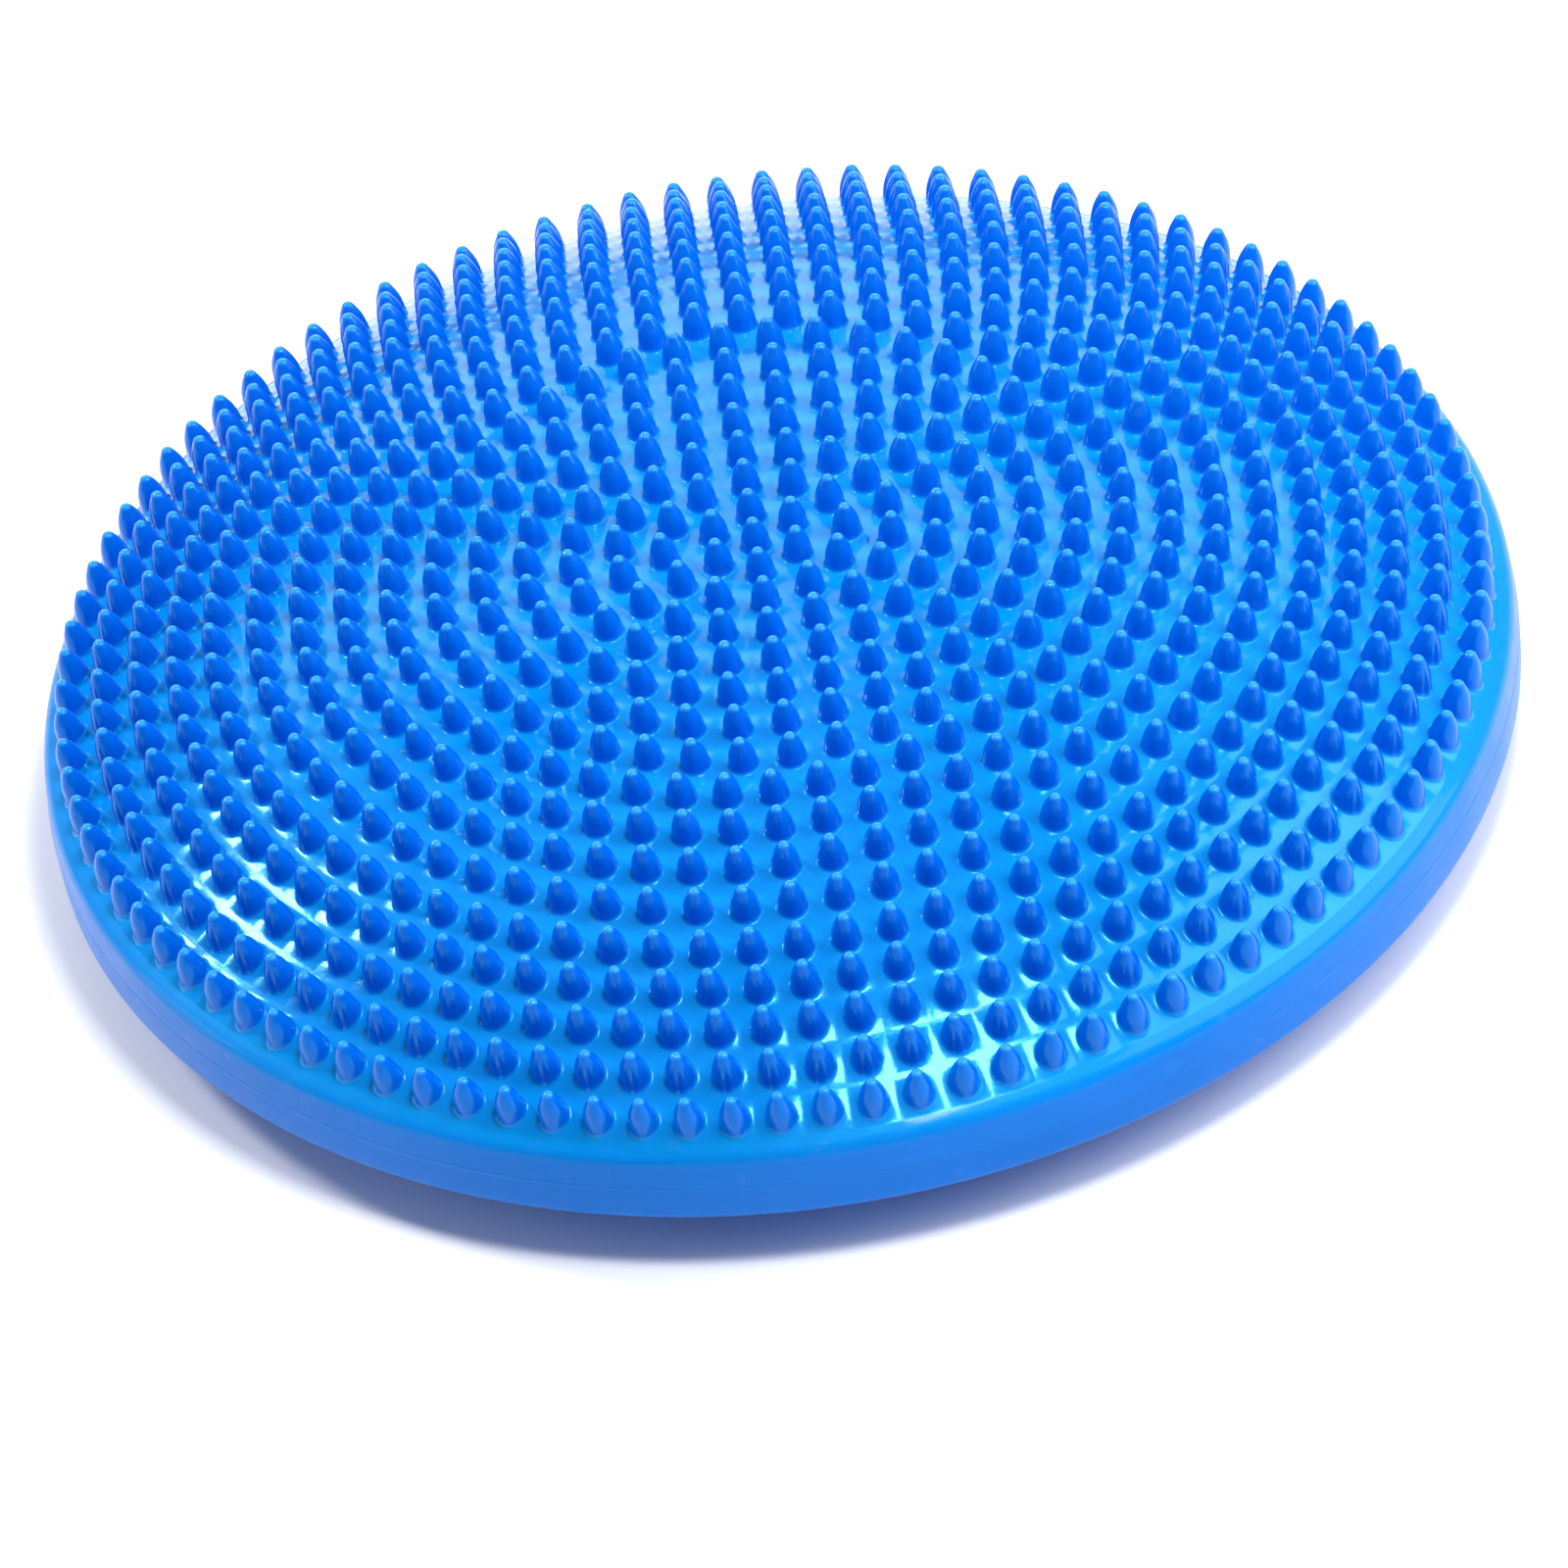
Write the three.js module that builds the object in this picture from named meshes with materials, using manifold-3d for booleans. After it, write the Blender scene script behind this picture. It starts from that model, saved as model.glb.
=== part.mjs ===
// Wobble cushion: an inflated disc of soft PVC that is sat or stood on.
// The skin is two mouldings joined round the side wall. Each moulding is split here
// where it flexes, so that the nubbed face can tilt and sink over the underside.
// Millimetres, +Z up. The origin is on the floor, under the middle of the underside.

import * as THREE from 'three';
import { mergeVertices } from 'three/addons/utils/BufferGeometryUtils.js';
import Module from 'manifold-3d';

const wasm = await Module();
wasm.setup();

// Driving dimensions
const outerRadius = 165;
const skin = 3.2;
const joinGap = 0.3;
const segments = 60;

// Levels of the side wall, from the floor up
const wallFootZ = 16.5;
const seamZ = 24;
const shoulderZ = 33;
const seamUpright = 2;

// The wall's edges are drawn in a little from its widest radius
const edgeInset = 1.5;
const edgePull = 0.4;
const edgePullDrop = 0.9;
const wallTaper = 0.3;
const wallTopDrop = 2.5;
const turnInset = 4;
const turnPull = 0.6;
const turnPullRise = 1.5;

// Top face: a dome that falls away faster towards the shoulder
const domeZ = 66.5;
const domeDrop = 29;
const domeDropRadius = 156;
const domePower = 3.35;
const faceRadius = 161.5;

// Underside: flat where it rests, then a dish that rises to the wall
const restRadius = 45;
const dishRadius = 160;
const dishRise = 13;
const dishPower = 2.2;
const undersideRadius = 145;

// Nubs: one in the middle, then rings of them, closer together near the shoulder.
// They lean outwards with the inflated skin.
const nubRings = 16;
const evenRings = 12;
const nubPitch = 10.15;
const outerNubPitch = 8.9;
const nubsPerRing = 6;
const plainRings = 7;
const extraNubs = 2;
const nubHalfWidth = 3.1;
const nubHeight = 8.5;
const nubLean = THREE.MathUtils.degToRad(12);
const nubLeanRadius = 80;
const middleNubCorners = 6;

// Inflation valve, in the back of the side wall
const valveZ = 19;
const bossRadius = 4.4;
const bossHead = 3.6;
const bossLength = 15;
const bossStemRadius = 3.9;
const valveRadius = 2.5;
const valveLength = 13;
const needleRadius = 0.8;
const needleDepth = 10;
const needleFunnelStart = 0.4;
const needleFunnelEnd = 0.8;
const bossChamferDepth = 0.3;
const bossChamferWidth = 0.4;
const boreSides = 24;
const bossSides = 32;

const pvc = { color: 0x0d6fe8, roughness: 0.28, metalness: 0 };
const wallPvc = { color: 0x2a72d4, roughness: 0.32, metalness: 0 };
const rubber = { color: 0x1c1e22, roughness: 0.7, metalness: 0 };

const domeHeight = (r) => domeZ - domeDrop * (r / domeDropRadius) ** domePower;

function dishHeight(r) {
  const out = Math.max(0, (r - restRadius) / (dishRadius - restRadius));
  return dishRise * out ** dishPower;
}

// Points on the outside of the skin, as (radius, height) pairs
function radialProfile(height, fromRadius, toRadius, steps) {
  const points = [];
  for (let i = 0; i <= steps; i += 1) {
    const r = THREE.MathUtils.lerp(fromRadius, toRadius, i / steps);
    points.push(new THREE.Vector2(r, height(r)));
  }
  return points;
}

function curveProfile(start, pull, end, steps) {
  return new THREE.QuadraticBezierCurve(start, pull, end).getPoints(steps);
}

// The same profile moved in by the skin's thickness, square to the surface
function insideOf(points, inwardSign) {
  return points.map((point, i) => {
    const before = points[Math.max(0, i - 1)];
    const after = points[Math.min(points.length - 1, i + 1)];
    const along = after.clone().sub(before).normalize();
    const inward = new THREE.Vector2(-along.y, along.x).multiplyScalar(inwardSign * skin);
    const moved = point.clone().add(inward);
    return point.x === 0 ? new THREE.Vector2(0, moved.y) : moved;
  });
}

// A solid of revolution about Z, with its outline anticlockwise where the radius runs right
function turned(outline) {
  const closed = outline[0].x === 0 ? outline : [...outline, outline[0].clone()];
  const geometry = new THREE.LatheGeometry(closed, segments);
  geometry.rotateX(Math.PI / 2);
  return geometry;
}

function toManifold(geometry) {
  const bare = geometry.clone();
  bare.deleteAttribute('normal');
  bare.deleteAttribute('uv');
  const merged = mergeVertices(bare, 1e-4);
  const mesh = new wasm.Mesh({
    numProp: 3,
    vertProperties: new Float32Array(merged.attributes.position.array),
    triVerts: new Uint32Array(merged.index.array),
  });
  return new wasm.Manifold(mesh);
}

function toGeometry(solid) {
  const mesh = solid.getMesh();
  const geometry = new THREE.BufferGeometry();
  geometry.setAttribute('position', new THREE.BufferAttribute(mesh.vertProperties, 3));
  geometry.setIndex(new THREE.BufferAttribute(mesh.triVerts, 1));
  return geometry;
}

function piece(name, geometry, finish) {
  const mesh = new THREE.Mesh(geometry, new THREE.MeshStandardMaterial(finish));
  mesh.name = name;
  return mesh;
}

function nubRadius(ring) {
  const even = Math.min(ring, evenRings);
  return even * nubPitch + (ring - even) * outerNubPitch;
}

function nubCount(ring) {
  return nubsPerRing * ring + (ring > plainRings ? extraNubs : 0);
}

// A closed skin built up from loops of points, each loop given by its points' angles
class LoopSkin {
  constructor() {
    this.points = [];
    this.faces = [];
  }

  point(angle, r, z) {
    this.points.push(r * Math.cos(angle), r * Math.sin(angle), z);
    return this.points.length / 3 - 1;
  }

  loop(angles, r, z) {
    return { angles, ids: angles.map((angle) => this.point(angle, r, z)) };
  }

  face(a, b, c) {
    this.faces.push(a, b, c);
  }

  // Joins a loop to the one before it, taking whichever next point comes first round the circle
  bridge(before, after) {
    const [nb, na] = [before.ids.length, after.ids.length];
    const angleAt = (loop, i) => loop.angles[i % loop.ids.length]
      + (i >= loop.ids.length ? 2 * Math.PI : 0);
    let i = 0;
    let j = 0;
    while (i < na || j < nb) {
      const stepAfter = j >= nb || (i < na && angleAt(after, i + 1) <= angleAt(before, j + 1));
      if (stepAfter) {
        this.face(after.ids[i % na], after.ids[(i + 1) % na], before.ids[j % nb]);
        i += 1;
      } else {
        this.face(after.ids[i % na], before.ids[(j + 1) % nb], before.ids[j % nb]);
        j += 1;
      }
    }
  }

  // Closes a loop with one point; facing is 1 at the start of the skin and -1 at its end
  cap(loop, tip, facing) {
    loop.ids.forEach((id, i) => {
      const next = loop.ids[(i + 1) % loop.ids.length];
      if (facing > 0) this.face(id, next, tip);
      else this.face(next, id, tip);
    });
  }

  geometry() {
    const made = new THREE.BufferGeometry();
    made.setAttribute('position', new THREE.Float32BufferAttribute(this.points, 3));
    made.setIndex(this.faces);
    return made;
  }
}

function evenAngles(count) {
  return Array.from({ length: count }, (_, i) => 2 * Math.PI * i / count);
}

// Adds one ring of four-sided nubs, standing between two loops, and returns the outer loop
function addNubRing(skinMesh, before, ring) {
  const r = nubRadius(ring);
  const lean = nubLean * Math.tanh(r / nubLeanRadius);
  const tipRadius = r + nubHeight * Math.sin(lean);
  const tipZ = domeHeight(r) + nubHeight * Math.cos(lean);
  const count = nubCount(ring);
  const pitch = 2 * Math.PI / count;
  const halfAngle = nubHalfWidth / r;
  const corners = [];
  for (let i = 0; i < count; i += 1) {
    const middle = (i + 0.5 * (ring % 2)) * pitch;
    corners.push(middle - halfAngle, middle + halfAngle);
  }
  const inner = skinMesh.loop(corners, r - nubHalfWidth, domeHeight(r - nubHalfWidth));
  const outer = skinMesh.loop(corners, r + nubHalfWidth, domeHeight(r + nubHalfWidth));
  skinMesh.bridge(before, inner);
  for (let i = 0; i < 2 * count; i += 2) {
    const [in0, in1, in2] = [0, 1, 2].map((k) => inner.ids[(i + k) % (2 * count)]);
    const [out0, out1, out2] = [0, 1, 2].map((k) => outer.ids[(i + k) % (2 * count)]);
    const tip = skinMesh.point(corners[i] + halfAngle, tipRadius, tipZ);
    [[out0, out1], [out1, in1], [in1, in0], [in0, out0]].forEach(([a, b]) => {
      skinMesh.face(a, b, tip);
    });
    skinMesh.face(out1, out2, in2);
    skinMesh.face(out1, in2, in1);
  }
  return outer;
}

function upperFace() {
  const face = new LoopSkin();
  let last = face.loop(evenAngles(middleNubCorners), nubHalfWidth, domeHeight(nubHalfWidth));
  face.cap(last, face.point(0, 0, domeZ + nubHeight), 1);
  for (let ring = 1; ring <= nubRings; ring += 1) {
    last = addNubRing(face, last, ring);
  }
  const rim = face.loop(evenAngles(segments), faceRadius, domeHeight(faceRadius));
  face.bridge(last, rim);
  last = rim;
  const inside = insideOf(radialProfile(domeHeight, faceRadius, 0, 6), 1);
  inside.slice(0, -1).forEach((point) => {
    const next = face.loop(evenAngles(segments), point.x, point.y);
    face.bridge(last, next);
    last = next;
  });
  face.cap(last, face.point(0, 0, domeZ - skin), -1);
  return face.geometry();
}

// The wall stands upright where the two mouldings meet
function seamEdge(...offsets) {
  return offsets.map((offset) => new THREE.Vector2(outerRadius, seamZ + offset));
}

// Side wall above the seam: shoulder, rounded edge and the upper part of the wall
function upperSideWall() {
  const edgeRadius = outerRadius - edgeInset;
  const edge = curveProfile(
    new THREE.Vector2(edgeRadius, domeHeight(edgeRadius)),
    new THREE.Vector2(outerRadius - edgePull, shoulderZ - edgePullDrop),
    new THREE.Vector2(outerRadius - wallTaper, shoulderZ - wallTopDrop),
    3,
  );
  const faceEdge = faceRadius + joinGap;
  const outside = [
    ...seamEdge(joinGap, joinGap + seamUpright),
    ...edge.reverse(),
    new THREE.Vector2(faceEdge, domeHeight(faceEdge)),
  ];
  const inside = insideOf(outside, 1).reverse();
  return turned([...inside, ...outside]);
}

// Side wall below the seam: the lower part of the wall and its turn under the cushion
function lowerSideWall() {
  const turnRadius = dishRadius - turnInset;
  const dish = radialProfile(dishHeight, undersideRadius + joinGap, turnRadius, 3);
  const turn = curveProfile(
    dish[3],
    new THREE.Vector2(outerRadius - turnPull, dishHeight(turnRadius) + turnPullRise),
    new THREE.Vector2(outerRadius - wallTaper, wallFootZ),
    4,
  );
  const outside = [...dish, ...turn.slice(1), ...seamEdge(-seamUpright, 0)];
  const inside = insideOf(outside, 1).reverse();
  const wall = toManifold(turned([...inside, ...outside]));
  const holeRadius = bossRadius + joinGap;
  const hole = new THREE.CylinderGeometry(holeRadius, holeRadius, 2 * bossLength, boreSides);
  hole.translate(0, outerRadius, valveZ);
  return toGeometry(wall.subtract(toManifold(hole)));
}

function underside() {
  const outside = [
    new THREE.Vector2(0, 0),
    ...radialProfile(dishHeight, restRadius, undersideRadius, 6),
  ];
  const inside = insideOf(outside, 1).reverse();
  return turned([...outside, ...inside]);
}

// A turned piece that points out through the back of the wall, from its outer face inwards
function turnedAlongY(outline, faces) {
  const geometry = new THREE.LatheGeometry(outline, faces);
  geometry.translate(0, outerRadius, valveZ);
  return geometry;
}

function valveBoss() {
  const bore = valveRadius + joinGap;
  return turnedAlongY([
    new THREE.Vector2(bore, -bossLength),
    new THREE.Vector2(bossStemRadius, -bossLength),
    new THREE.Vector2(bossStemRadius, -bossHead),
    new THREE.Vector2(bossRadius, -bossHead),
    new THREE.Vector2(bossRadius, -bossChamferDepth),
    new THREE.Vector2(bossRadius - bossChamferWidth, 0),
    new THREE.Vector2(bore, 0),
    new THREE.Vector2(bore, -bossLength),
  ], bossSides);
}

function needleValve() {
  return turnedAlongY([
    new THREE.Vector2(0, -valveLength),
    new THREE.Vector2(valveRadius, -valveLength),
    new THREE.Vector2(valveRadius, -needleFunnelStart),
    new THREE.Vector2(needleRadius, -needleFunnelEnd),
    new THREE.Vector2(needleRadius, -needleDepth),
    new THREE.Vector2(0, -needleDepth),
  ], boreSides);
}

const group = new THREE.Group();
group.add(
  piece('upper_face', upperFace(), pvc),
  piece('upper_side_wall', upperSideWall(), wallPvc),
  piece('lower_side_wall', lowerSideWall(), wallPvc),
  piece('underside', underside(), wallPvc),
  piece('valve_boss', valveBoss(), wallPvc),
  piece('needle_valve', needleValve(), rubber),
);

export default group;
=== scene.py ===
"""Wobble cushion: glossy blue PVC skins with nubs, studs and a valve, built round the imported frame.

Metres, +Z up, the cushion on the floor at z = 0. Every skin is a closed solid of the skin's thickness.
"""

import math
import random

import bpy
import numpy as np
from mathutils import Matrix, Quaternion, Vector


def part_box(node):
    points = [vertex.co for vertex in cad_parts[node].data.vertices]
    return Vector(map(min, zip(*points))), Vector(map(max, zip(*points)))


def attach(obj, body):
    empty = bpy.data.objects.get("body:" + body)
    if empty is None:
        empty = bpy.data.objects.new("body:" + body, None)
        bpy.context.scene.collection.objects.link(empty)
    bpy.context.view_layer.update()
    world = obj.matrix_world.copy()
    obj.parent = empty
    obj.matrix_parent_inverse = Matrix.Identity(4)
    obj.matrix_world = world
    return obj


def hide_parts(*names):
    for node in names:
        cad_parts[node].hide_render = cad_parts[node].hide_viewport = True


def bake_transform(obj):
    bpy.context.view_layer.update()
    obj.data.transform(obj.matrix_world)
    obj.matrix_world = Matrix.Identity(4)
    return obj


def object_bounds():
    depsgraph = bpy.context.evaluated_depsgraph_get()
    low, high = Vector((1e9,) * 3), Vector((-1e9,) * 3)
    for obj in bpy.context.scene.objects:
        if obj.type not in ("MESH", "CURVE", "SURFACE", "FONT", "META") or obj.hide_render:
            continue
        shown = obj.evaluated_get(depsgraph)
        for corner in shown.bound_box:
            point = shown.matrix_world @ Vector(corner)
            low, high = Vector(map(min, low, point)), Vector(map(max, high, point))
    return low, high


MM = 0.001

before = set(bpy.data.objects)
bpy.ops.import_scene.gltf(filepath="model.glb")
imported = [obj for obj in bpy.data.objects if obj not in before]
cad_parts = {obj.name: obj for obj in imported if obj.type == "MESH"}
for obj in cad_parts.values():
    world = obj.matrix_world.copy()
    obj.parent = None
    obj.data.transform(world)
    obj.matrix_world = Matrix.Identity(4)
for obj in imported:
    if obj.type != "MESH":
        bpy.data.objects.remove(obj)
cad_low, cad_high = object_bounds()

# ---------------------------------------------------------------- sizes

OUTER_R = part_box("upper_side_wall")[1].x
SEAM_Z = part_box("lower_side_wall")[1].z
FACE_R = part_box("upper_face")[1].x
UNDERSIDE_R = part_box("underside")[1].x
VALVE_LOW, VALVE_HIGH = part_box("valve_boss")
VALVE_Z = (VALVE_LOW.z + VALVE_HIGH.z) / 2
BOSS_R = VALVE_HIGH.x
BOSS_GAP = 0.06 * MM

SKIN = 3.2 * MM
MIDDLE_R = 0.1 * MM
NUB_HEIGHT = 8.5 * MM
DOME_Z = cad_high.z - NUB_HEIGHT
DOME_DROP = 29 * MM
DOME_DROP_R = 156 * MM
DOME_POWER = 3.35

REST_R = 45 * MM
DISH_R = 160 * MM
DISH_RISE = 13 * MM
DISH_POWER = 2.2
TURN_START_R = 156 * MM
WALL_FOOT_Z = 16.5 * MM
WALL_TOP_Z = 29.8 * MM
WALL_BULGE = 0.3 * MM
EDGE_R = 162.8 * MM
BEAD_HEIGHT = 0.13 * MM
BEAD_WIDTH = 0.42 * MM
BEAD_SPAN = 1.2 * MM
WALL_SEGMENTS = 294

# Rows along each stretch of the outline, from the bottom middle to the top middle.
REST_STEPS = 7
DISH_STEPS = 30
TURN_START_STEPS = 6
TURN_STEPS = 16
FOOT_STEPS = 8
SEAM_STEPS = 25
HEAD_STEPS = 7
EDGE_STEPS = 12
SHOULDER_STEPS = 3
DOME_STEPS = 50
INSIDE_SKIP = 4

# Nubs on the face: rings, feet, sections, and how they lean and differ.
NUB_RINGS = 16
EVEN_RINGS = 12
NUB_PITCH = 10.15 * MM
OUTER_NUB_PITCH = 8.9 * MM
FIRST_NUBS = 6
PLAIN_RINGS = 7
EXTRA_NUBS = 2
CELL_PART = 0.475
NUB_SIDE = 6
NUB_R = 3.32 * MM
NUB_FILLET = 0.55 * MM
NUB_TIP_R = 1.55 * MM
NUB_TAPER = 18
NUB_SWELL = 0.95 * MM
NUB_DRAFT = 0.05 * MM
FILLET_CORNER = 0.02 * MM
FILLET_STEPS = 4
BODY_STEPS = 6
TIP_STEPS = 7
NUB_LEAN = math.radians(12)
NUB_LEAN_R = 80 * MM
NUB_LEAN_SPREAD = 0.015
NUB_HEIGHT_SPREAD = 0.008
NUB_SEED = 33

# Studs under the cushion.
STUD_RINGS = 5
STUD_FIRST_R = 84 * MM
STUD_PITCH = 14 * MM
STUD_SPACING = 15 * MM
STUD_CELL_PART = 0.48
STUD_EDGE_GAP = 0.5 * MM
STUD_SIDE = 4
STUD_HEIGHT = 0.9 * MM
STUD_R = 2.6 * MM
STUD_FLAT_R = 0.1 * MM
STUD_FOOT_HEIGHT = 0.08 * MM
STUD_FOOT = ((3.1 * MM, 0.0), (2.75 * MM, 0.03 * MM))
STUD_STEPS = 6

# Parts of a bump's height: where its rows turn level, where its painted shade starts, and the tip, where its
# painted highlight starts.
LEVEL_PART = 0.4
SHADE_PART = 0.15
TIP_HIGHLIGHT_PART = 0.13

VALVE_SEGMENTS = 64
HOLE_DEPTH = 6 * SKIN
OUTSIDE_FACING = 0.7

# The height over which the wall's colour turns into the face's.
# The wall's darker colour is painted shade, and this fade takes it off towards the face.
EDGE_FADE = 5 * MM

CAMERA_LENS = 500
CAMERA_DISTANCE = 4.836
CAMERA_ELEVATION = math.radians(40.2)
CAMERA_ROLL = math.radians(9.5)
CAMERA_OFFSET = (0.0024, -0.0306, 0)
CAMERA_REACH = 50
FLOOR_SIZE = 30
WORLD_STRENGTH = 0.26

# Name, place in metres, size in metres and radiance of each softbox.
LIGHTS = [
    ("overhead", (0.24, -0.46, 1.5), (0.36, 0.36), 40),
    ("left_window", (-1.0, 0.56, 1.05), (0.28, 0.28), 46),
    ("right_softbox", (1.28, -0.17, 1.1), (1.35, 1.35), 4.6),
    ("back_panel", (0.2, 2.4, 1.2), (3.0, 1.7), 1.9),
    ("left_panel", (-2.2, 0.4, 0.6), (0.7, 1.0), 2.5),
]

# The nubs are the face's own PVC; their darker blue is painted shade on the nub sides.
NUB_SHADE_BLUE = (0.0, 0.128, 0.64)
FACE_BLUE = (0.0, 0.230, 0.66)
# The wall is the same PVC as the face; its darker blue is painted shade on the upright sides.
WALL_SHADE_BLUE = (0.0, 0.142, 0.60)
# Paler blue at the nub tips: a painted highlight.
TIP_HIGHLIGHT_BLUE = (0.02, 0.26, 0.82)
SHINE_BLUE = (0.08, 0.68, 1.0)
SCUFF_BLUE = (0.35, 0.55, 0.9)
RUBBER_BLACK = (0.012, 0.012, 0.014)
RUBBER_GREY = (0.035, 0.035, 0.04)
FLOOR_WHITE = (0.94, 0.943, 0.95)
WORLD_WHITE = (0.95, 0.97, 1.0)

# Noise scales in blobs per metre, and the depth of each bump.
CLOUD_SCALE = 22
SCUFF_SCALE = 140
GLOSS_SCALE = 90
WAVE_SCALE, WAVE_DEPTH = 55, 1.0 * MM
PEEL_SCALE, PEEL_DEPTH = 650, 0.25 * MM
RUBBER_SCALE = 900
GRAIN_SCALE, GRAIN_DEPTH = 4000, 0.05 * MM
FLOOR_SCALE = 3

CLOUD_GAIN, CLOUD_LIFT = 1.10, 0.004
COAT_WEIGHT = 0.14
COAT_ROUGHNESS = 0.06
SCATTER_WEIGHT = 0.12
SCATTER_RADIUS = (0.2, 0.6, 1.0)
SCATTER_DEPTH = 2 * MM

# ---------------------------------------------------------------- outline of the skin


def dome_height(r):
    return DOME_Z - DOME_DROP * (np.asarray(r) / DOME_DROP_R) ** DOME_POWER


def dish_height(r):
    out = np.clip((np.asarray(r) - REST_R) / (DISH_R - REST_R), 0, None)
    return DISH_RISE * out ** DISH_POWER


def smooth(t):
    t = np.clip(t, 0, 1)
    return t * t * (3 - 2 * t)


def slope_of(height, r):
    step = 0.01 * MM
    return float(height(r + step) - height(r - step)) / (2 * step)


def bezier(start, pull, end, steps):
    t = np.linspace(0, 1, steps + 1)[:, None]
    start, pull, end = (np.array(p, float) for p in (start, pull, end))
    return (1 - t) ** 2 * start + 2 * t * (1 - t) * pull + t ** 2 * end


def along_radius(height, radii):
    return np.column_stack([radii, height(radii)])


def wall_profile():
    """The upright wall: a slight bulge, with a fine bead where the two mouldings meet."""
    below, above = SEAM_Z - BEAD_SPAN, SEAM_Z + BEAD_SPAN
    z = np.concatenate([
        np.linspace(WALL_FOOT_Z, below, FOOT_STEPS)[:-1],
        np.linspace(below, above, SEAM_STEPS),
        np.linspace(above, WALL_TOP_Z, HEAD_STEPS)[1:],
    ])
    middle = (WALL_FOOT_Z + WALL_TOP_Z) / 2
    half = (WALL_TOP_Z - WALL_FOOT_Z) / 2
    r = OUTER_R - WALL_BULGE * ((z - middle) / half) ** 2
    r += BEAD_HEIGHT * np.exp(-(((z - SEAM_Z) / BEAD_WIDTH) ** 2))
    return np.column_stack([r, z])


def skin_outline():
    """The outside of the whole skin as (radius, height) rows, from the bottom centre to the top centre."""
    wall = wall_profile()
    foot, head = wall[0], wall[-1]
    turn_start = (TURN_START_R, float(dish_height(TURN_START_R)))
    turn_rise = slope_of(dish_height, TURN_START_R) * (foot[0] - TURN_START_R)
    edge_end = (EDGE_R, float(dome_height(EDGE_R)))
    edge_rise = slope_of(dome_height, EDGE_R) * (head[0] - EDGE_R)
    return np.vstack([
        along_radius(dish_height, np.linspace(0, REST_R, REST_STEPS)[:-1]),
        along_radius(dish_height, np.linspace(REST_R, UNDERSIDE_R, DISH_STEPS)),
        along_radius(dish_height, np.linspace(UNDERSIDE_R, TURN_START_R, TURN_START_STEPS))[1:-1],
        bezier(turn_start, (foot[0], turn_start[1] + turn_rise), foot, TURN_STEPS)[:-1],
        wall,
        bezier(head, (head[0], edge_end[1] + edge_rise), edge_end, EDGE_STEPS)[1:],
        along_radius(dome_height, np.linspace(EDGE_R, FACE_R, SHOULDER_STEPS))[1:],
        along_radius(dome_height, np.linspace(FACE_R, 0, DOME_STEPS))[1:],
    ])


OUTLINE = skin_outline()
tangents = np.gradient(OUTLINE, axis=0)
tangents /= np.linalg.norm(tangents, axis=1)[:, None]
OUTLINE_NORMALS = np.column_stack([tangents[:, 1], -tangents[:, 0]])


def outline_row(r, z):
    return int(np.argmin(np.hypot(OUTLINE[:, 0] - r, OUTLINE[:, 1] - z)))


UNDERSIDE_ROW = outline_row(UNDERSIDE_R, float(dish_height(UNDERSIDE_R)))
SEAM_ROW = outline_row(OUTER_R, SEAM_Z)
FACE_ROW = outline_row(FACE_R, float(dome_height(FACE_R)))

# ---------------------------------------------------------------- mesh building


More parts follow.
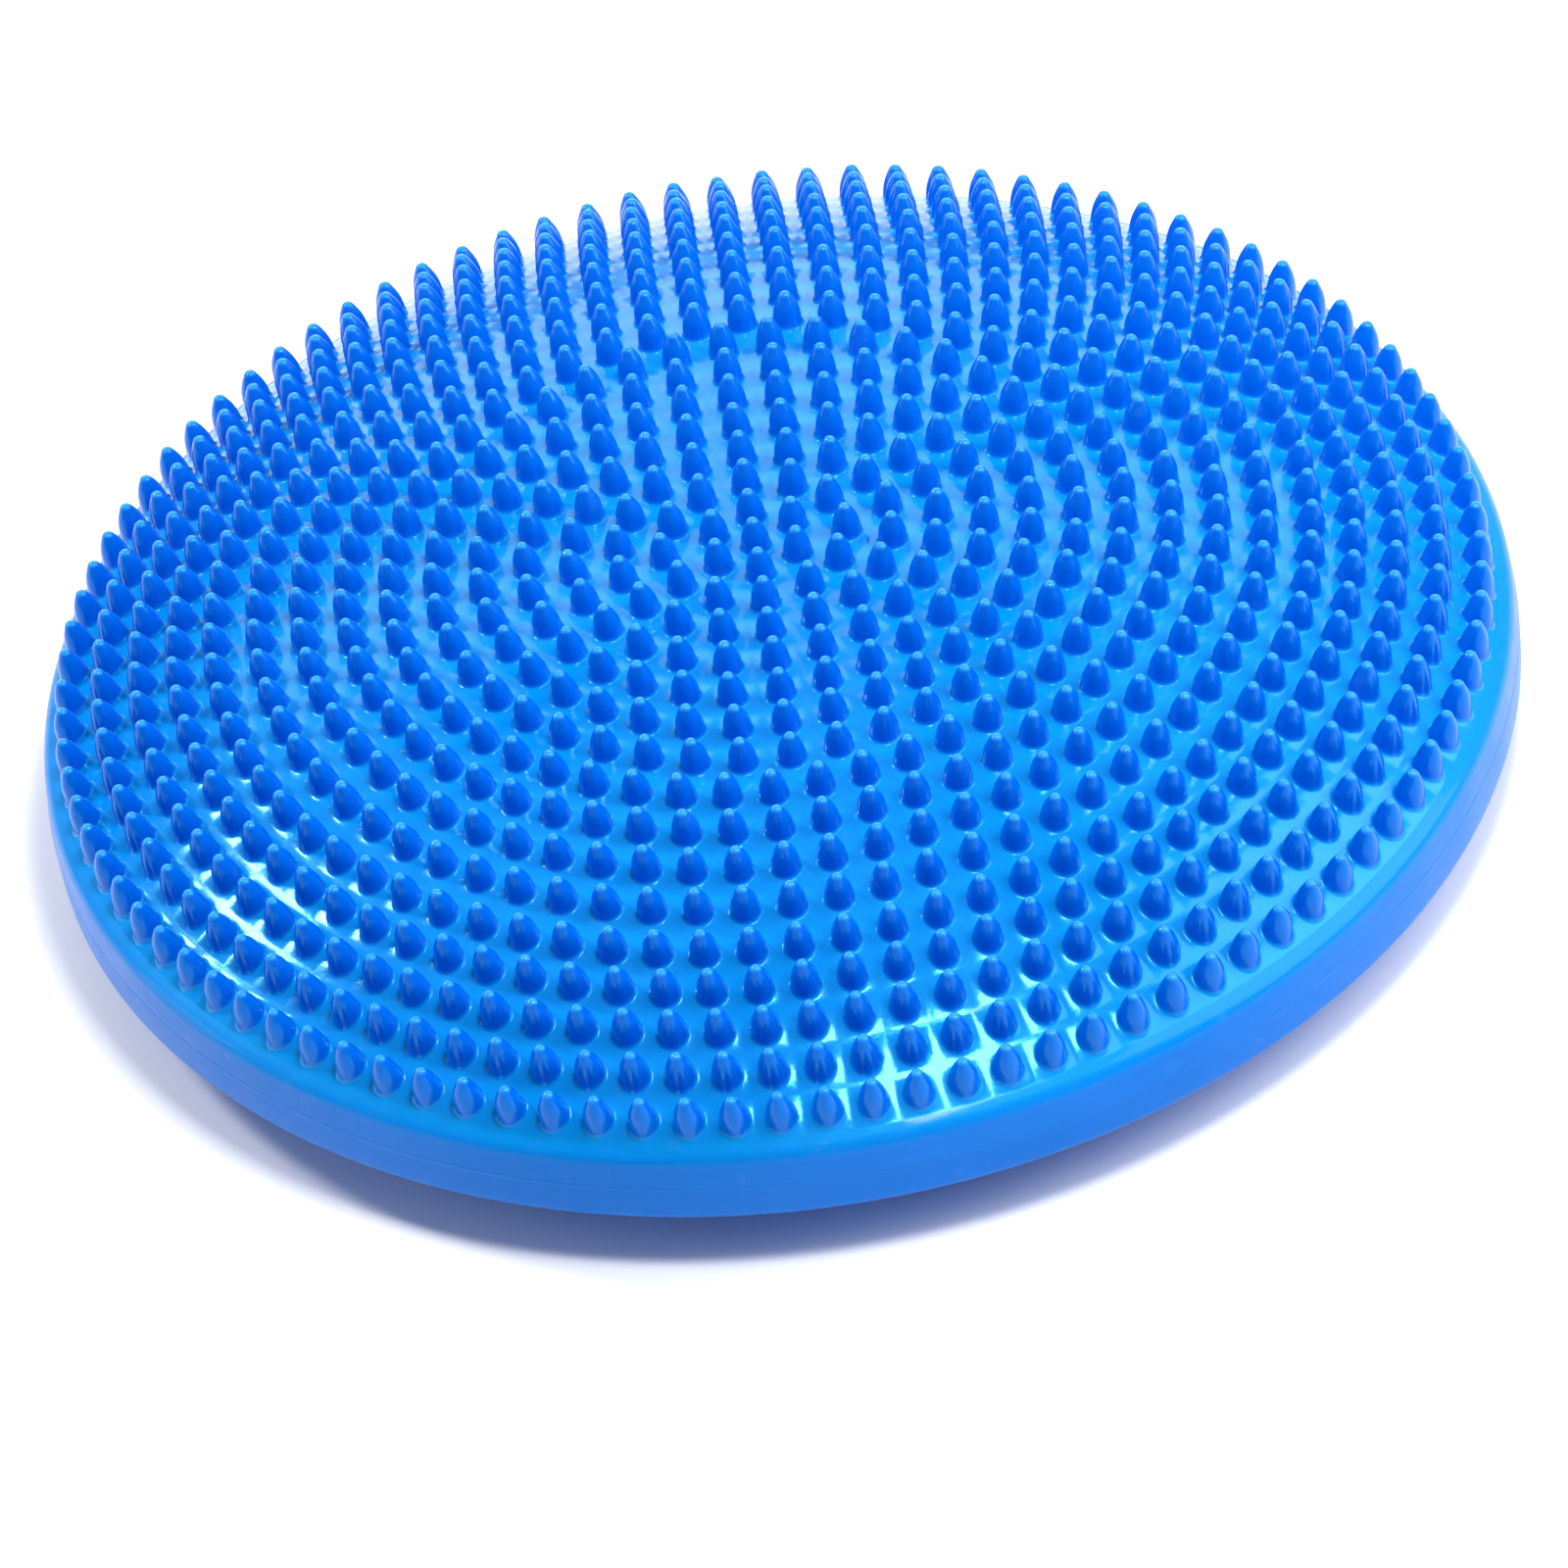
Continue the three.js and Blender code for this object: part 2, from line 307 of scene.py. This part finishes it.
class SkinMesh:
    """Points, faces and point values of one skin. Loops are added from the middle of its outside
    to the rim, and then back along its inside, so that every band faces out of the solid."""

    def __init__(self):
        self.points = []
        self.faces = []
        self.raised = []
        self.fixed_normals = {}

    def add(self, points, raised=0.0):
        """Adds points, and returns their numbers. raised is 0 on plain skin, 1 on a bump, 2 at its tip; the
        face's material paints shade on the nubs from it, and a highlight at their tips.
        """
        first = len(self.points)
        self.points.extend(map(tuple, points))
        self.raised.extend([raised] * (len(self.points) - first))
        return np.arange(first, len(self.points))

    def circle(self, angles, r, z):
        level = np.full(len(angles), z)
        return self.add(np.column_stack([r * np.cos(angles), r * np.sin(angles), level]))

    def outline_loop(self, angles, row, depth=0.0):
        """A loop at a row of the outline, or below it by depth, with the outline's own normals."""
        loop = self.circle(angles, *(OUTLINE[row] - depth * OUTLINE_NORMALS[row]))
        self.fix_normals(loop, angles, OUTLINE_NORMALS[row] * (-1 if depth else 1))
        return loop

    def fix_normals(self, ids, angles, normal):
        """Normals of a loop, so that neighbouring skins shade as one."""
        out, up = normal
        for i, angle in zip(ids.tolist(), angles):
            self.fixed_normals[i] = (out * math.cos(angle), out * math.sin(angle), up)

    def band(self, after, before):
        """Quads between two loops of the same length."""
        ring = np.column_stack([after, np.roll(after, -1), np.roll(before, -1), before])
        self.faces.extend(map(tuple, ring.tolist()))

    def zip_loops(self, after, after_angles, before, before_angles):
        """Triangles between two loops of different lengths, which start near the same angle."""
        n_after, n_before = len(after), len(before)
        after_at = np.append(after_angles, after_angles[0] + 2 * math.pi)
        before_at = np.append(before_angles, before_angles[0] + 2 * math.pi)
        i = j = 0
        while i < n_after or j < n_before:
            here, there = int(after[i % n_after]), int(before[j % n_before])
            if j >= n_before or (i < n_after and after_at[i + 1] <= before_at[j + 1]):
                i += 1
                self.faces.append((here, int(after[i % n_after]), there))
            else:
                j += 1
                self.faces.append((here, int(before[j % n_before]), there))

    def start_fan(self, loop, tip):
        """Triangles from a first point to the loop round it."""
        self.faces.extend((a, b, int(tip)) for a, b in zip(loop.tolist(), np.roll(loop, -1).tolist()))

    def end_fan(self, loop, tip):
        """Triangles from a loop to the last point inside it."""
        self.faces.extend((b, a, int(tip)) for a, b in zip(loop.tolist(), np.roll(loop, -1).tolist()))

    def close_inside(self, rows, angles, rim):
        """The inside of the skin, from the rim loop to the middle."""
        last = rim
        for row in rows:
            if OUTLINE[row][0] < MIDDLE_R:
                break
            loop = self.outline_loop(angles, row, SKIN)
            self.band(loop, last)
            last = loop
        middle = OUTLINE[rows[-1]] - SKIN * OUTLINE_NORMALS[rows[-1]]
        self.end_fan(last, self.add([(0, 0, middle[1])])[0])

    def build(self, name, face_down=False):
        faces = [f[::-1] for f in self.faces] if face_down else self.faces
        mesh = bpy.data.meshes.new(name)
        mesh.from_pydata(self.points, [], faces)
        mesh.polygons.foreach_set("use_smooth", [True] * len(mesh.polygons))
        raised = mesh.attributes.new("raised", "FLOAT", "POINT")
        raised.data.foreach_set("value", self.raised)
        mesh.update()
        if self.fixed_normals:
            normals = [tuple(n.vector) for n in mesh.vertex_normals]
            for i, normal in self.fixed_normals.items():
                normals[i] = normal
            mesh.normals_split_custom_set_from_vertices(normals)
        piece = bpy.data.objects.new(name, mesh)
        bpy.context.scene.collection.objects.link(piece)
        return piece


def even_angles(count):
    return 2 * math.pi * np.arange(count) / count


def turned_skin(name, first, last, fade=0.0):
    """A ring of skin between two rows of the outline. Its point value rises from 0 to 1 at the last row, over
    a height of fade; the upper wall's material uses it to fade the wall's painted shade into the face's
    colour."""
    mesh = SkinMesh()
    angles = even_angles(WALL_SEGMENTS)
    rows = list(range(last, first - 1, -1))
    loops = [mesh.outline_loop(angles, row) for row in rows]
    loops += [mesh.outline_loop(angles, row, SKIN) for row in rows[::-1]]
    for before, after in zip(loops, loops[1:] + loops[:1]):
        mesh.band(after, before)
    if fade:
        heights = np.array(mesh.points)[:, 2]
        mesh.raised = smooth((heights - OUTLINE[last][1] + fade) / fade).tolist()
    return mesh.build(name)


# ---------------------------------------------------------------- nubs and studs


def nub_profile():
    """A nub's (radius, height) rows: a fillet at its foot, a slightly swollen cone and a round tip."""
    start, corner = (NUB_R + NUB_FILLET, 0), (NUB_R + FILLET_CORNER, FILLET_CORNER)
    fillet = bezier(start, corner, (NUB_R - NUB_DRAFT, 2 * NUB_FILLET), FILLET_STEPS)
    turn = np.radians(np.linspace(NUB_TAPER, 90, TIP_STEPS))[:-1]
    tip = np.column_stack([np.cos(turn), np.sin(turn)]) * NUB_TIP_R + (0, NUB_HEIGHT - NUB_TIP_R)
    pull = (fillet[-1] + tip[0]) / 2 + (NUB_SWELL, 0)
    return np.vstack([fillet[:-1], bezier(fillet[-1], pull, tip[0], BODY_STEPS)[:-1], tip])


def stud_profile():
    """A stud's rows: a low round button."""
    turn = np.linspace(0, math.pi / 2, STUD_STEPS)[:-1]
    radius = STUD_FLAT_R + (STUD_R - STUD_FLAT_R) * np.cos(turn)
    height = STUD_FOOT_HEIGHT + (STUD_HEIGHT - STUD_FOOT_HEIGHT) * np.sin(turn)
    return np.vstack([STUD_FOOT, np.column_stack([radius, height])])


class BumpField:
    """Rings of nubs or studs on a surface of revolution. Each bump's foot follows the surface, and its rows
    turn square to its own axis higher up. up is 1 for bumps on the top and -1 for those under the cushion,
    and rng makes each bump a little different."""

    def __init__(self, mesh, surface, rows, peak, side, up, rng=None):
        self.mesh, self.surface, self.rows, self.peak = mesh, surface, rows, peak
        self.side, self.up, self.rng = side, up, rng

    def axes(self, r, facing):
        """A bump's own directions: outwards, sideways and along it. Nubs lean outwards with the skin."""
        lean, side = 0.0, 0.0
        if self.rng:
            lean = NUB_LEAN * math.tanh(r / NUB_LEAN_R) + self.rng.gauss(0, NUB_LEAN_SPREAD)
            side = self.rng.gauss(0, NUB_LEAN_SPREAD)
        out = np.array([math.cos(facing), math.sin(facing), 0])
        across = np.array([-math.sin(facing), math.cos(facing), 0])
        along = self.up * np.array([0, 0, math.cos(lean)]) + math.sin(lean) * out + side * across
        along /= np.linalg.norm(along)
        return np.cross(across, along) * self.up, across, along

    def bump(self, r, facing, boundary=None):
        """One bump inside its boundary loop. Returns its outermost loop."""
        turn = even_angles(4 * self.side) - math.pi / 4
        peak = self.peak
        outwards, across, along = self.axes(r, facing)
        around = np.outer(np.cos(turn), outwards) + np.outer(np.sin(turn), across)
        foot = np.array([r * math.cos(facing), r * math.sin(facing), float(self.surface(r))])
        stretch = 1.0
        if self.rng and r > 0:
            stretch += self.rng.gauss(0, NUB_HEIGHT_SPREAD) - 2 * NUB_HEIGHT_SPREAD
        loops = [] if boundary is None else [boundary]
        for radius, height in self.rows:
            level = smooth(height / (LEVEL_PART * peak))
            points = foot + radius * around + stretch * height * along
            on_skin = self.surface(np.hypot(points[:, 0], points[:, 1])) + self.up * height
            points[:, 2] = level * points[:, 2] + (1 - level) * on_skin
            # The point value picks painted shade on the bump's side from low down, and a painted highlight
            # near its tip.
            raised = smooth(height / (SHADE_PART * peak))
            raised += smooth((height - (1 - TIP_HIGHLIGHT_PART) * peak) / (TIP_HIGHLIGHT_PART * peak))
            loops.append(self.mesh.add(points, float(raised)))
        for outer, inner in zip(loops, loops[1:]):
            self.mesh.band(outer, inner)
        self.mesh.start_fan(loops[-1], self.mesh.add([foot + stretch * peak * along], 2.0)[0])
        return loops[0]

    def on_surface(self, r, angles):
        return self.mesh.circle(angles, r, float(self.surface(r)))

    def ring(self, r, low_r, high_r, count, phase=0.0):
        """A ring of bumps, each in a cell of its own. Returns its inner and outer loops, and their angles."""
        side = self.side
        angles = (np.arange(count * side) / side - 0.5 + phase) * 2 * math.pi / count
        inner = self.on_surface(low_r, angles)
        outer = self.on_surface(high_r, angles)
        between = np.linspace(low_r, high_r, side + 1)[1:-1]
        heights = self.surface(between)
        spokes = [
            self.mesh.add(np.column_stack([between * math.cos(a), between * math.sin(a), heights]))
            for a in angles[::side]
        ]
        for cell in range(count):
            span = np.arange(cell * side, (cell + 1) * side + 1) % (count * side)
            boundary = np.concatenate([
                outer[span], spokes[(cell + 1) % count][::-1], inner[span][::-1], spokes[cell],
            ])
            self.bump(r, (cell + phase) * 2 * math.pi / count, boundary)
        return inner, outer, angles


def nub_radius(ring):
    even = min(ring, EVEN_RINGS)
    return even * NUB_PITCH + (ring - even) * OUTER_NUB_PITCH


def nub_count(ring):
    return FIRST_NUBS * ring + (EXTRA_NUBS if ring > PLAIN_RINGS else 0)


def nubbed_face():
    mesh = SkinMesh()
    rng = random.Random(NUB_SEED)
    field = BumpField(mesh, dome_height, nub_profile(), NUB_HEIGHT, NUB_SIDE, 1, rng)
    last = field.bump(0.0, math.pi / 4)
    last_angles = even_angles(4 * NUB_SIDE)
    for ring in range(1, NUB_RINGS + 1):
        r = nub_radius(ring)
        low_r = r - CELL_PART * (r - nub_radius(ring - 1))
        high_r = FACE_R if ring == NUB_RINGS else r + CELL_PART * (nub_radius(ring + 1) - r)
        inner, outer, angles = field.ring(r, low_r, high_r, nub_count(ring), 0.5 * (ring % 2))
        mesh.zip_loops(inner, angles, last, last_angles)
        last, last_angles = outer, angles
    mesh.fix_normals(last, last_angles, OUTLINE_NORMALS[FACE_ROW])
    middle_row = len(OUTLINE) - 1
    rows = [FACE_ROW, *range(FACE_ROW + INSIDE_SKIP // 2, middle_row, INSIDE_SKIP), middle_row]
    mesh.close_inside(rows, last_angles, last)
    return mesh.build("nubbed_face")


def studded_underside():
    mesh = SkinMesh()
    angles = even_angles(WALL_SEGMENTS // 2)
    field = BumpField(mesh, dish_height, stud_profile(), STUD_HEIGHT, STUD_SIDE, -1)
    studs_start = STUD_FIRST_R - STUD_PITCH / 2
    middle_rows = [row for row in range(1, UNDERSIDE_ROW) if OUTLINE[row][0] < studs_start]
    last = mesh.outline_loop(angles, middle_rows[0])
    mesh.start_fan(last, mesh.add([(0, 0, 0)])[0])
    for row in middle_rows[1:]:
        loop = mesh.outline_loop(angles, row)
        mesh.band(loop, last)
        last = loop
    last_angles = angles
    for ring in range(STUD_RINGS):
        r = STUD_FIRST_R + ring * STUD_PITCH
        count = round(2 * math.pi * r / STUD_SPACING)
        low_r = r - STUD_CELL_PART * STUD_PITCH
        high_r = min(r + STUD_CELL_PART * STUD_PITCH, UNDERSIDE_R - STUD_EDGE_GAP)
        inner, outer, ring_angles = field.ring(r, low_r, high_r, count, 0.5 * (ring % 2))
        mesh.zip_loops(inner, ring_angles, last, last_angles)
        last, last_angles = outer, ring_angles
    angles = even_angles(WALL_SEGMENTS)
    rim = mesh.outline_loop(angles, UNDERSIDE_ROW)
    mesh.zip_loops(rim, angles, last, last_angles)
    mesh.close_inside([*range(UNDERSIDE_ROW, 0, -INSIDE_SKIP), 0], angles, rim)
    return mesh.build("studded_underside", face_down=True)


# ---------------------------------------------------------------- valve


def turned_about_y(name, rows):
    """A closed piece turned about the valve's axis. Rows are (radius, depth behind the wall's face) in mm.
    Rows of radius 0 are single points."""
    mesh = SkinMesh()
    turn = even_angles(VALVE_SEGMENTS)
    loops = []
    for radius, depth in rows:
        spots = turn if radius > 0 else turn[:1]
        loops.append(mesh.add(np.column_stack([
            radius * MM * np.sin(spots),
            np.full(len(spots), OUTER_R - depth * MM),
            VALVE_Z + radius * MM * np.cos(spots),
        ])))
    closed = rows[0][0] > 0
    for before, after in zip(loops, loops[1:] + (loops[:1] if closed else [])):
        if len(before) == 1:
            mesh.start_fan(after, before[0])
        elif len(after) == 1:
            mesh.end_fan(before, after[0])
        else:
            mesh.band(after, before)
    return mesh.build(name)


def valve_boss():
    """The thick insert round the valve, with a rounded lip and a shallow dish."""
    lip = [
        (3.05, 0.5), (3.25, 0.3), (3.45, 0.08), (3.7, 0.0),
        (4.0, 0.03), (4.25, 0.18), (4.38, 0.42), (4.4, 0.8),
    ]
    stem = [(4.4, 3.6), (3.9, 3.8), (3.9, 14.8), (3.7, 15.0), (2.8, 15.0), (2.8, 0.75)]
    return turned_about_y("moulded_valve_boss", lip + stem)


def cut_valve_hole(skin):
    """Cuts the boss's round hole through a wall skin, then sets its normals from the outline again, so that
    the wall still shades as one."""
    bpy.ops.mesh.primitive_cylinder_add(
        vertices=VALVE_SEGMENTS, radius=BOSS_R + BOSS_GAP, depth=HOLE_DEPTH,
        location=(0, OUTER_R - SKIN, VALVE_Z), rotation=(math.pi / 2, 0, 0),
    )
    cutter = bpy.context.object
    hole = skin.modifiers.new("hole", "BOOLEAN")
    hole.operation = "DIFFERENCE"
    hole.solver = "MANIFOLD"
    hole.object = cutter
    evaluated = skin.evaluated_get(bpy.context.evaluated_depsgraph_get())
    mesh = bpy.data.meshes.new_from_object(evaluated)
    mesh.materials.clear()
    skin.modifiers.clear()
    skin.data = mesh
    bpy.data.objects.remove(cutter)
    normals = []
    for face in mesh.polygons:
        for i in face.vertices:
            x, y, z = mesh.vertices[i].co
            r = math.hypot(x, y)
            n_r, n_z = OUTLINE_NORMALS[outline_row(r, z)]
            out = Vector((n_r * x / r, n_r * y / r, n_z))
            facing = out.dot(face.normal)
            on_skin = abs(facing) > OUTSIDE_FACING
            normals.append(math.copysign(1, facing) * out if on_skin else face.normal.copy())
    mesh.normals_split_custom_set(normals)


def needle_valve():
    """The rubber body: a domed face with a funnel that leads the needle into its channel."""
    face = [
        (0.0, 10.0), (0.8, 9.8), (0.8, 1.5), (0.86, 1.2),
        (1.05, 0.95), (1.35, 0.8), (1.7, 0.72), (2.1, 0.75),
    ]
    side = [(2.4, 0.9), (2.5, 1.2), (2.5, 12.7), (2.3, 13.0), (0.0, 13.0)]
    return turned_about_y("rubber_needle_valve", face + side)


# ---------------------------------------------------------------- materials


def new_material(name):
    material = bpy.data.materials.new(name)
    material.use_nodes = True
    nodes = material.node_tree.nodes
    return material, nodes, material.node_tree.links, nodes["Principled BSDF"]


def noise(nodes, links, scale, detail=3.0, roughness=0.5):
    """Noise in the object's own coordinates. scale is in blobs per metre."""
    where = nodes.new("ShaderNodeTexCoord")
    texture = nodes.new("ShaderNodeTexNoise")
    texture.inputs["Scale"].default_value = scale
    texture.inputs["Detail"].default_value = detail
    texture.inputs["Roughness"].default_value = roughness
    links.new(where.outputs["Object"], texture.inputs["Vector"])
    return texture.outputs["Fac"]


def remap(nodes, links, value, low, high, to_low, to_high):
    node = nodes.new("ShaderNodeMapRange")
    node.inputs["From Min"].default_value = low
    node.inputs["From Max"].default_value = high
    node.inputs["To Min"].default_value = to_low
    node.inputs["To Max"].default_value = to_high
    links.new(value, node.inputs["Value"])
    return node.outputs["Result"]


def mix_colour(nodes, links, factor, first, second):
    """A blend of two colours, each a tuple or an output."""
    node = nodes.new("ShaderNodeMix")
    node.data_type = "RGBA"
    links.new(factor, node.inputs["Factor"])
    for socket, colour in ((node.inputs[6], first), (node.inputs[7], second)):
        if isinstance(colour, tuple):
            socket.default_value = (*colour, 1)
        else:
            links.new(colour, socket)
    return node.outputs[2]


def bump_chain(nodes, links, layers):
    """Stacked bumps. Each layer is (height output, strength, distance in metres)."""
    normal = None
    for height, strength, distance in layers:
        node = nodes.new("ShaderNodeBump")
        node.inputs["Strength"].default_value = strength
        node.inputs["Distance"].default_value = distance
        links.new(height, node.inputs["Height"])
        if normal is not None:
            links.new(normal, node.inputs["Normal"])
        normal = node.outputs["Normal"]
    return normal


def pvc_material(name, plain, raised_colour, tip, roughness, scuff, shine):
    """Glossy soft PVC: slight cloudiness in the colour, orange peel, faint scuffs, and a thin coat.
    The colour for bumps is painted shade on the nubs (on the upper wall, the face's colour that the wall's
    painted shade fades into), and tip is a painted highlight at a nub's tip."""
    material, nodes, links, shader = new_material(name)
    cloud = remap(nodes, links, noise(nodes, links, CLOUD_SCALE, detail=4), 0.35, 0.65, 0.0, 1.0)
    paler = tuple(min(1.0, c * CLOUD_GAIN + CLOUD_LIFT) for c in plain)
    base = mix_colour(nodes, links, cloud, plain, paler)
    raised = nodes.new("ShaderNodeAttribute")
    raised.attribute_name = "raised"
    # Painted shade on the nubs where raised is 1 (the face's colour at the top of the upper wall), and a
    # painted highlight where it nears 2 at the nub tips.
    base = mix_colour(nodes, links, raised.outputs["Fac"], base, raised_colour)
    base = mix_colour(nodes, links, remap(nodes, links, raised.outputs["Fac"], 1, 2, 0, 1), base, tip)
    marks = noise(nodes, links, SCUFF_SCALE, detail=8, roughness=0.7)
    base = mix_colour(nodes, links, remap(nodes, links, marks, 0.60, 0.78, 0.0, scuff), base, SCUFF_BLUE)
    links.new(base, shader.inputs["Base Color"])
    gloss = noise(nodes, links, GLOSS_SCALE, detail=6)
    duller, shinier = roughness + 0.07, roughness - 0.04
    links.new(remap(nodes, links, gloss, 0.3, 0.7, shinier, duller), shader.inputs["Roughness"])
    shader.inputs["Specular IOR Level"].default_value = shine
    shader.inputs["Specular Tint"].default_value = (*SHINE_BLUE, 1)
    shader.inputs["Coat Weight"].default_value = COAT_WEIGHT
    shader.inputs["Coat Roughness"].default_value = COAT_ROUGHNESS
    shader.inputs["Subsurface Weight"].default_value = SCATTER_WEIGHT
    shader.inputs["Subsurface Radius"].default_value = SCATTER_RADIUS
    shader.inputs["Subsurface Scale"].default_value = SCATTER_DEPTH
    layers = [
        (noise(nodes, links, WAVE_SCALE, detail=2), 0.25, WAVE_DEPTH),
        (noise(nodes, links, PEEL_SCALE, detail=3), 0.10, PEEL_DEPTH),
    ]
    links.new(bump_chain(nodes, links, layers), shader.inputs["Normal"])
    return material


def rubber_material():
    """Dull black rubber with a fine grain."""
    material, nodes, links, shader = new_material("valve_rubber")
    cloud = noise(nodes, links, RUBBER_SCALE, detail=6)
    links.new(mix_colour(nodes, links, cloud, RUBBER_BLACK, RUBBER_GREY), shader.inputs["Base Color"])
    links.new(remap(nodes, links, cloud, 0.3, 0.7, 0.5, 0.75), shader.inputs["Roughness"])
    grain = (noise(nodes, links, GRAIN_SCALE, detail=3), 0.3, GRAIN_DEPTH)
    links.new(bump_chain(nodes, links, [grain]), shader.inputs["Normal"])
    return material


def floor_material():
    material, nodes, links, shader = new_material("studio_floor")
    shader.inputs["Base Color"].default_value = (*FLOOR_WHITE, 1)
    patches = noise(nodes, links, FLOOR_SCALE, detail=3)
    links.new(remap(nodes, links, patches, 0.3, 0.7, 0.55, 0.7), shader.inputs["Roughness"])
    return material


# ---------------------------------------------------------------- the cushion


def blend_by_skin(piece, height):
    """Moves each point onto the height of the skin under it, bakes the piece's place into these points,
    and then puts the points back where they were."""
    points = np.empty(3 * len(piece.data.vertices))
    piece.data.vertices.foreach_get("co", points)
    on_skin = points.copy().reshape(-1, 3)
    on_skin[:, 2] = height(np.hypot(on_skin[:, 0], on_skin[:, 1]))
    piece.data.vertices.foreach_set("co", on_skin.ravel())
    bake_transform(piece)
    piece.data.vertices.foreach_set("co", points)
    piece.data.update()


face = nubbed_face()
upper_wall = turned_skin("upper_wall_skin", SEAM_ROW, FACE_ROW, EDGE_FADE)
lower_wall = turned_skin("lower_wall_skin", UNDERSIDE_ROW, SEAM_ROW)
cut_valve_hole(lower_wall)
underside = studded_underside()
boss = valve_boss()
valve = needle_valve()

# The wall and the boss use the wall's painted shade for all three colours.
SHADED_WALL = (WALL_SHADE_BLUE, WALL_SHADE_BLUE, WALL_SHADE_BLUE)
face_pvc = pvc_material("nubbed_pvc", FACE_BLUE, NUB_SHADE_BLUE, TIP_HIGHLIGHT_BLUE, roughness=0.15, scuff=0.06, shine=0.6)
wall_pvc = pvc_material("wall_pvc", *SHADED_WALL, roughness=0.36, scuff=0.12, shine=0.2)
boss_pvc = pvc_material("boss_pvc", *SHADED_WALL, roughness=0.38, scuff=0.12, shine=0.2)
upper_wall_pvc = pvc_material(
    "upper_wall_pvc", WALL_SHADE_BLUE, FACE_BLUE, FACE_BLUE, roughness=0.34, scuff=0.12, shine=0.3,
)

FINISH = [
    (face, face_pvc, "nubbed_pvc", "upper_face"),
    (upper_wall, upper_wall_pvc, "wall_pvc", "upper_side_wall"),
    (lower_wall, wall_pvc, "wall_pvc", "lower_side_wall"),
    (underside, wall_pvc, "wall_pvc", "underside"),
    (boss, boss_pvc, "boss_pvc", "valve_boss"),
    (valve, rubber_material(), "valve_rubber", "needle_valve"),
]
for piece, material, slot, node in FINISH:
    piece.data.materials.append(material)
    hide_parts(node)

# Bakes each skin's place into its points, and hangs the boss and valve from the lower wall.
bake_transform(underside)
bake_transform(lower_wall)
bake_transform(upper_wall)
blend_by_skin(face, dome_height)
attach(boss, "lower_wall")
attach(valve, "lower_wall")

# ---------------------------------------------------------------- studio


def area_light(name, place, size, radiance):
    """A softbox that faces the cushion."""
    data = bpy.data.lights.new(name, "AREA")
    data.shape = "RECTANGLE"
    data.size, data.size_y = size
    data.energy = radiance * math.pi * size[0] * size[1]
    light = bpy.data.objects.new(name, data)
    light.location = place
    light.rotation_euler = (-Vector(place)).to_track_quat("-Z", "Y").to_euler()
    bpy.context.scene.collection.objects.link(light)


def studio():
    bpy.ops.mesh.primitive_plane_add(size=FLOOR_SIZE, location=(0, 0, 0))
    floor = bpy.context.object
    floor.name = "studio_floor"
    floor.data.materials.append(floor_material())
    world = bpy.data.worlds.new("studio")
    world.use_nodes = True
    background = world.node_tree.nodes["Background"]
    background.inputs["Color"].default_value = (*WORLD_WHITE, 1)
    background.inputs["Strength"].default_value = WORLD_STRENGTH
    bpy.context.scene.world = world
    for light in LIGHTS:
        area_light(*light)
    bpy.context.scene.view_settings.view_transform = "Standard"


def camera():
    """A long lens that looks down at the cushion, rolled a little so that its right side is high."""
    data = bpy.data.cameras.new("camera")
    data.lens = CAMERA_LENS
    data.clip_end = CAMERA_REACH
    cam = bpy.data.objects.new("camera", data)
    back = Vector((0, -math.cos(CAMERA_ELEVATION), math.sin(CAMERA_ELEVATION)))
    turn = back.to_track_quat("Z", "Y") @ Quaternion((0, 0, 1), -CAMERA_ROLL)
    cam.rotation_mode = "QUATERNION"
    cam.rotation_quaternion = turn
    middle = Vector((0, 0, cad_high.z / 2))
    cam.location = CAMERA_DISTANCE * back + turn @ Vector(CAMERA_OFFSET) + middle
    bpy.context.scene.collection.objects.link(cam)
    bpy.context.scene.camera = cam


studio()
camera()
